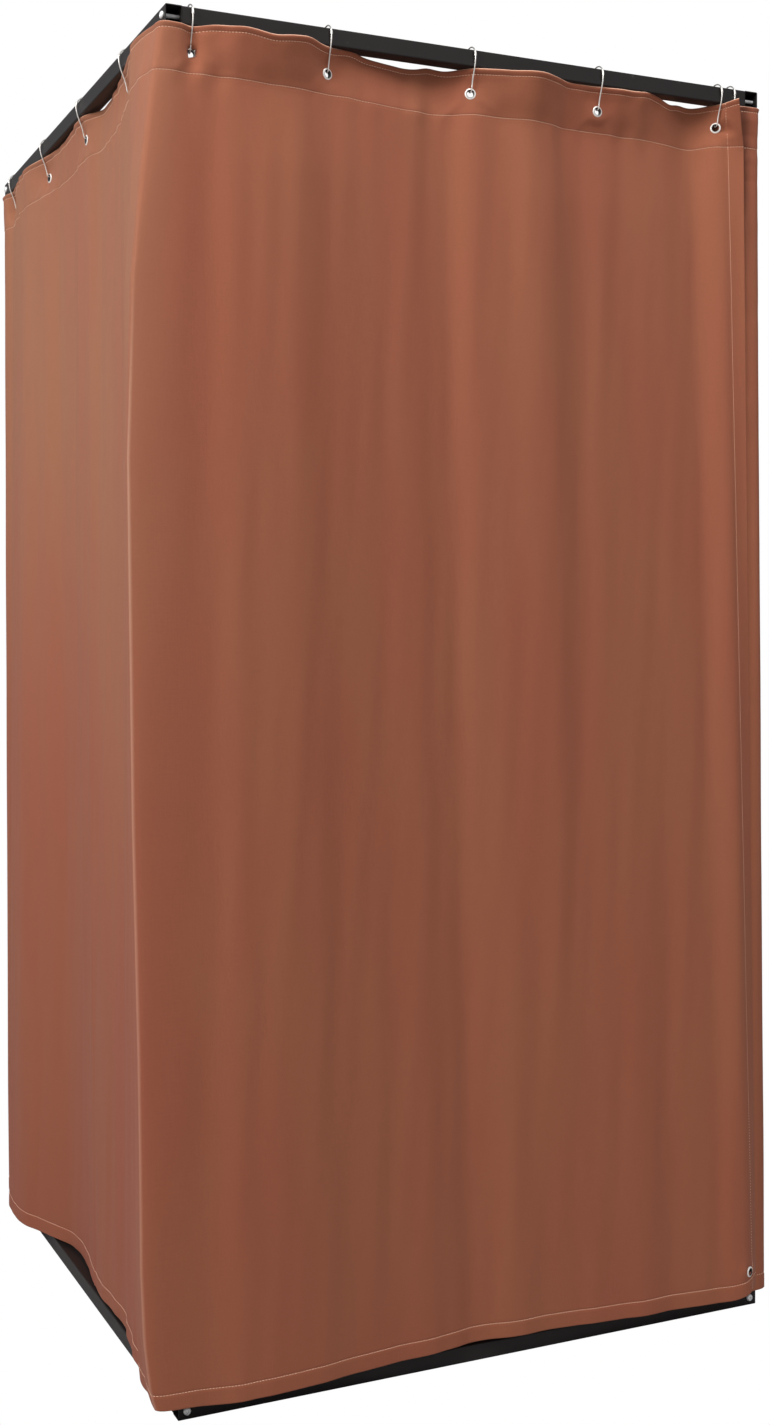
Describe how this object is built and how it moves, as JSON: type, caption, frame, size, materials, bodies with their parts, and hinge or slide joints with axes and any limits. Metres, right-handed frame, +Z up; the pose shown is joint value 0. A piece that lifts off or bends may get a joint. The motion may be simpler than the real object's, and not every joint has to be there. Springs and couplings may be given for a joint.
{
  "type": "portable fitting room",
  "caption": "Square free-standing changing cabin: a bolted black tube frame with a hemmed canvas curtain hung round it on wire hooks, the front drawn aside to enter.",
  "frame": {"origin": "on the floor, at the middle of the square frame", "axes": "+X to the right along the front, +Y to the back, +Z up; the entrance faces -Y"},
  "size_m": [1.0892, 1.0812, 1.9879],
  "materials": {
    "frame_coat": "semi-gloss black powder coat on square steel tube",
    "bolt_zinc": "zinc-plated button-head socket bolts",
    "hook_wire": "bright plated spring wire",
    "eyelet_nickel": "nickel-plated pressed eyelets",
    "curtain_canvas": "plain-weave cotton canvas, rust-brown, hemmed with paler thread"
  },
  "bodies": {
    "cabin": {"top_rail_left": "frame_coat", "bottom_rail_left": "frame_coat", "top_rail_right": "frame_coat", "bottom_rail_right": "frame_coat", "top_rail_front": "frame_coat", "bottom_rail_front": "frame_coat", "top_rail_back": "frame_coat", "bottom_rail_back": "frame_coat", "post_front_left": "frame_coat", "top_bolt_front_left": "bolt_zinc", "bottom_bolt_front_left": "bolt_zinc", "post_front_right": "frame_coat", "top_bolt_front_right": "bolt_zinc", "bottom_bolt_front_right": "bolt_zinc", "post_back_left": "frame_coat", "top_bolt_back_left": "bolt_zinc", "bottom_bolt_back_left": "bolt_zinc", "post_back_right": "frame_coat", "top_bolt_back_right": "bolt_zinc", "bottom_bolt_back_right": "bolt_zinc", "hook_front_1": "hook_wire", "hook_front_6": "hook_wire", "hook_left_1": "hook_wire", "hook_left_2": "hook_wire", "hook_left_3": "hook_wire", "hook_left_4": "hook_wire", "hook_back_1": "hook_wire", "hook_back_2": "hook_wire", "hook_back_3": "hook_wire", "hook_back_4": "hook_wire", "hook_right_1": "hook_wire", "hook_right_2": "hook_wire", "hook_right_3": "hook_wire", "hook_right_4": "hook_wire", "eyelet_front_1": "eyelet_nickel", "eyelet_front_6": "eyelet_nickel", "eyelet_left_1": "eyelet_nickel", "eyelet_left_2": "eyelet_nickel", "eyelet_left_3": "eyelet_nickel", "eyelet_left_4": "eyelet_nickel", "curtain_front": "curtain_canvas", "curtain_left": "curtain_canvas", "curtain_back": "curtain_canvas", "curtain_right": "curtain_canvas"},
    "front_hanger_2": {"hook_front_2": "hook_wire", "eyelet_front_2": "eyelet_nickel"},
    "front_hanger_3": {"hook_front_3": "hook_wire", "eyelet_front_3": "eyelet_nickel"},
    "front_hanger_4": {"hook_front_4": "hook_wire", "eyelet_front_4": "eyelet_nickel"},
    "front_hanger_5": {"hook_front_5": "hook_wire", "eyelet_front_5": "eyelet_nickel"},
    "hem_corner": {"eyelet_hem_corner": "eyelet_nickel"}
  },
  "joints": [
    {"name": "curtain_slide", "type": "slide", "parent": "cabin", "child": "front_hanger_5", "axis": [-1, 0, 0], "range_m": [0, 0.66], "deforming": ["curtain_front"]},
    {"name": "hanger_2_slide", "type": "slide", "parent": "cabin", "child": "front_hanger_2", "axis": [-1, 0, 0], "range_m": [0, 0.1493]},
    {"name": "hanger_3_slide", "type": "slide", "parent": "cabin", "child": "front_hanger_3", "axis": [-1, 0, 0], "range_m": [0, 0.3254]},
    {"name": "hanger_4_slide", "type": "slide", "parent": "cabin", "child": "front_hanger_4", "axis": [-1, 0, 0], "range_m": [0, 0.4932]},
    {"name": "hem_corner_slide", "type": "slide", "parent": "cabin", "child": "hem_corner", "axis": [-1, 0, 0], "range_m": [0, 0.6835]}
  ],
  "couplings": [
    {"joint": "hanger_2_slide", "follows": "curtain_slide", "ratio": 0.22463},
    {"joint": "hanger_3_slide", "follows": "curtain_slide", "ratio": 0.49145},
    {"joint": "hanger_4_slide", "follows": "curtain_slide", "ratio": 0.74572},
    {"joint": "hem_corner_slide", "follows": "curtain_slide", "ratio": 1.0341}
  ]
}
